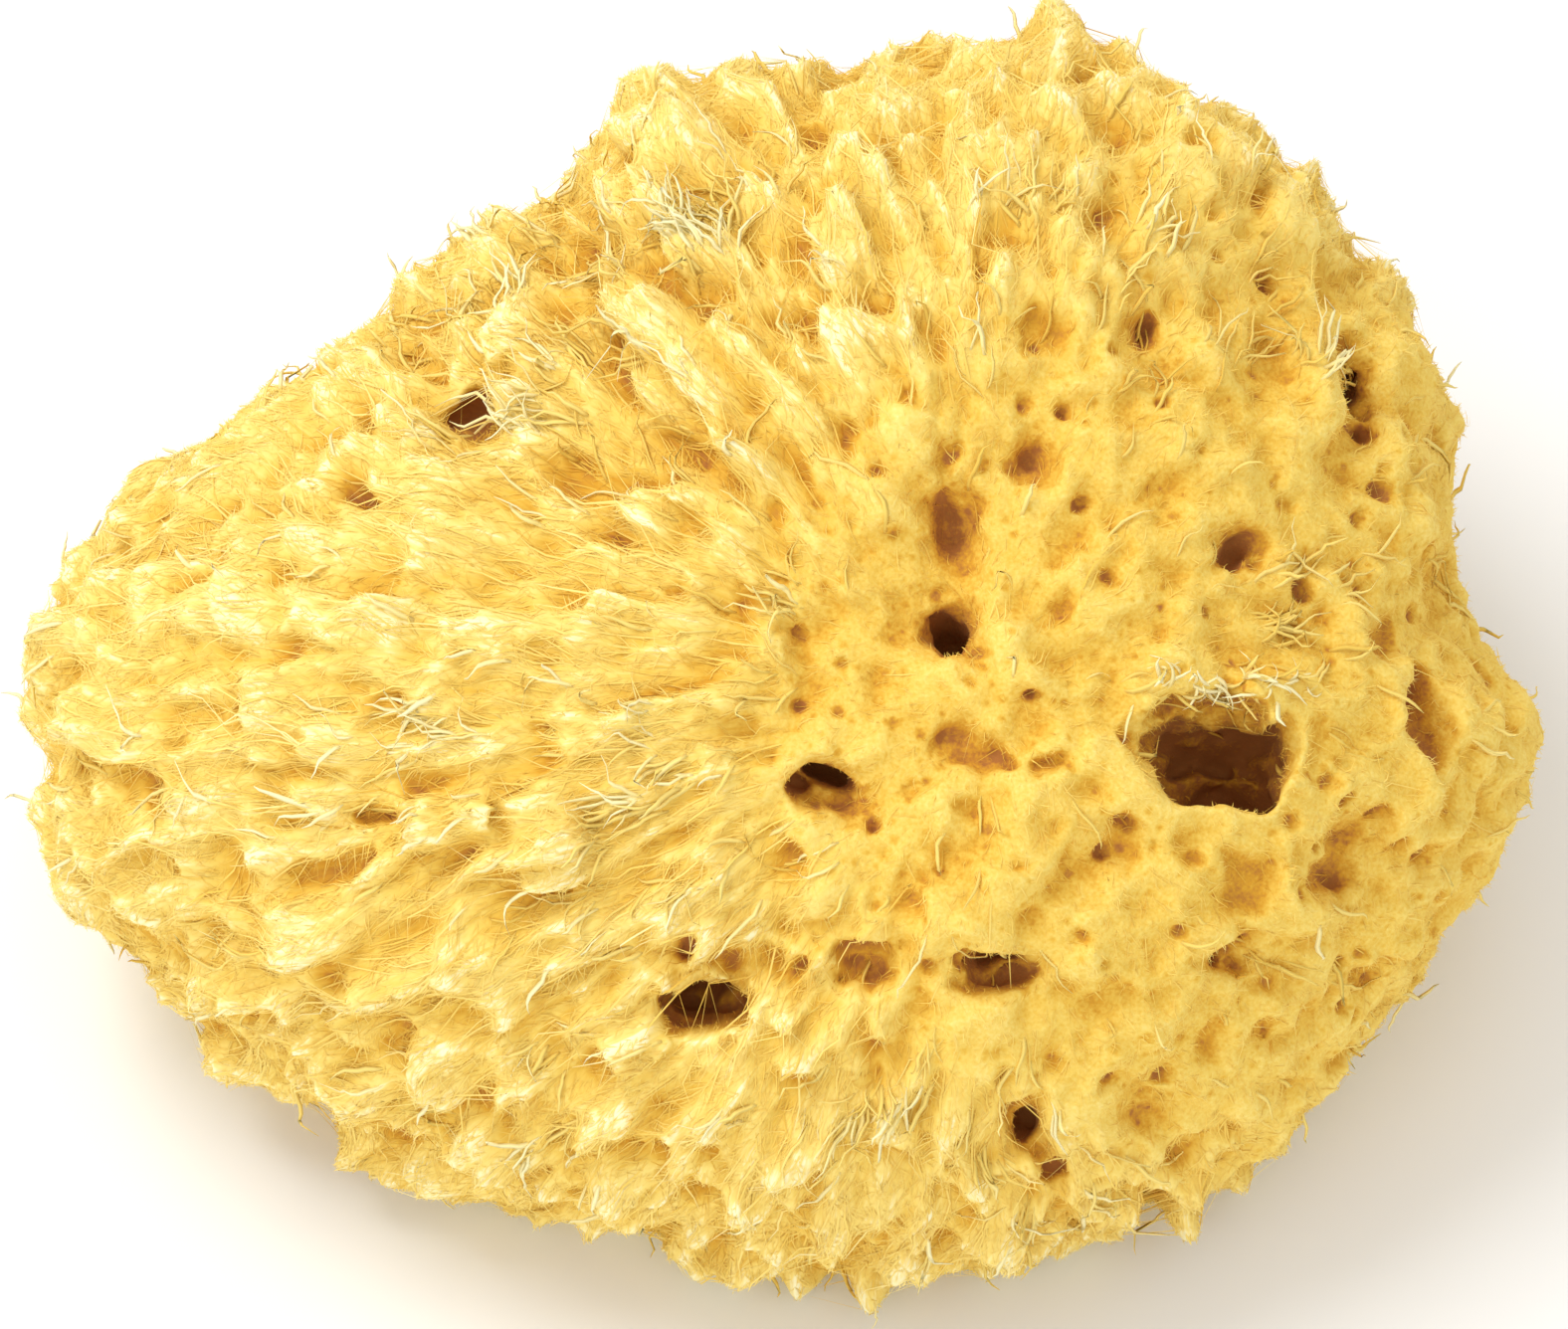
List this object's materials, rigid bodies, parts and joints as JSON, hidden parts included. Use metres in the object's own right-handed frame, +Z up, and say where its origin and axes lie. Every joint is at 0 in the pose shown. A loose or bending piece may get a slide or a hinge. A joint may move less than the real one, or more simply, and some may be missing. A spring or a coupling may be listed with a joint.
{
  "type": "sea sponge",
  "caption": "Dry natural sea sponge, a rounded fibrous yellow lump with open canals and fine pores, cut flat underneath so that it rests steadily.",
  "frame": {"origin": "in the flat cut underneath, below the middle of the sponge's box", "axes": "+X along the length, -Y towards the face with the main canal mouth, +Z up from the flat cut"},
  "size_m": [0.1504, 0.1216, 0.0917],
  "materials": {
    "spongin": "matte fibrous"
  },
  "bodies": {
    "root": {"sponge": "spongin"}
  },
  "joints": []
}
